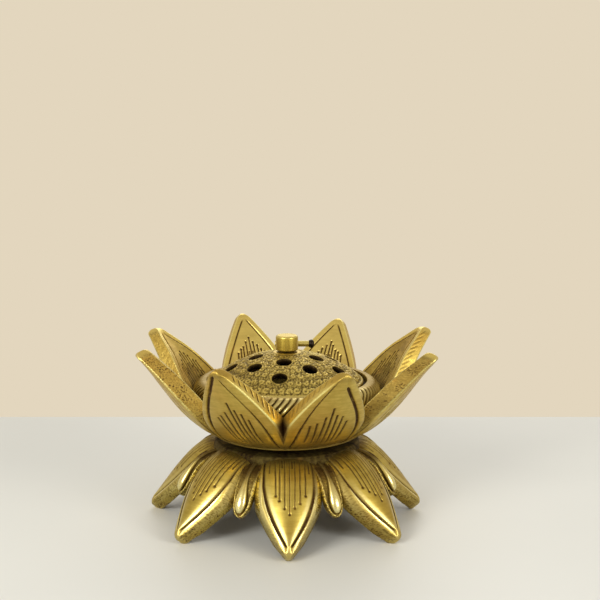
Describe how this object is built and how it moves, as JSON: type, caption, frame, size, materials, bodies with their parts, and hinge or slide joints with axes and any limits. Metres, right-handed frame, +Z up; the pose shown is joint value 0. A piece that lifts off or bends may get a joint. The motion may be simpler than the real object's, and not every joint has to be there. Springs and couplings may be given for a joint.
{
  "type": "lotus dhoop burner",
  "caption": "Cast brass lotus dhoop burner: petal foot, petal bowl, fluted cup with a loose tray and a hinged, pierced dome lid.",
  "frame": {"origin": "on the burner's axis, on the surface it stands on", "axes": "+Z up, front towards -Y, hinge at the back towards +Y"},
  "size_m": [0.1181, 0.1156, 0.0738],
  "materials": {
    "cast_brass": "aged satin cast brass with dark patina in the engraved lines",
    "dark_brass": "dull dark brass",
    "cup_brass": "satin ribbed brass with dark patina between the ribs",
    "lid_brass": "ring-punched satin brass with dark patina",
    "tray_brass": "plain satin brass, smoke darkened",
    "polished_brass": "turned and polished brass",
    "steel": "plain steel fastener",
    "dark_metal": "blackened brass"
  },
  "bodies": {
    "base": {"lotus_foot": "cast_brass", "neck_collar": "dark_brass", "lotus_bowl": "cast_brass", "fluted_cup": "cup_brass", "through_bolt": "steel", "bolt_washer": "steel", "clamp_nut": "steel", "hinge_clevis": "polished_brass", "clevis_screw_left": "steel", "clevis_screw_right": "steel"},
    "lid": {"lid_dome": "lid_brass", "hinge_strap": "polished_brass", "strap_rivet_left": "polished_brass", "strap_rivet_right": "polished_brass", "lid_knob": "polished_brass", "knob_washer": "steel", "knob_screw": "steel"},
    "pin": {"hinge_pin": "polished_brass", "pin_ball": "dark_metal"},
    "tray": {"dhoop_tray": "tray_brass"}
  },
  "joints": [
    {"name": "lid_hinge", "type": "hinge", "parent": "base", "child": "lid", "pos_m": [0, 0.0345, 0.0628], "axis": [-1, 0, 0], "range_deg": [0, 105]},
    {"name": "pin_draw", "type": "slide", "parent": "base", "child": "pin", "axis": [1, 0, 0], "range_m": [0, 0.012]},
    {"name": "tray_lift", "type": "slide", "parent": "base", "child": "tray", "axis": [0, 0, 1], "range_m": [0, 0.003]}
  ]
}
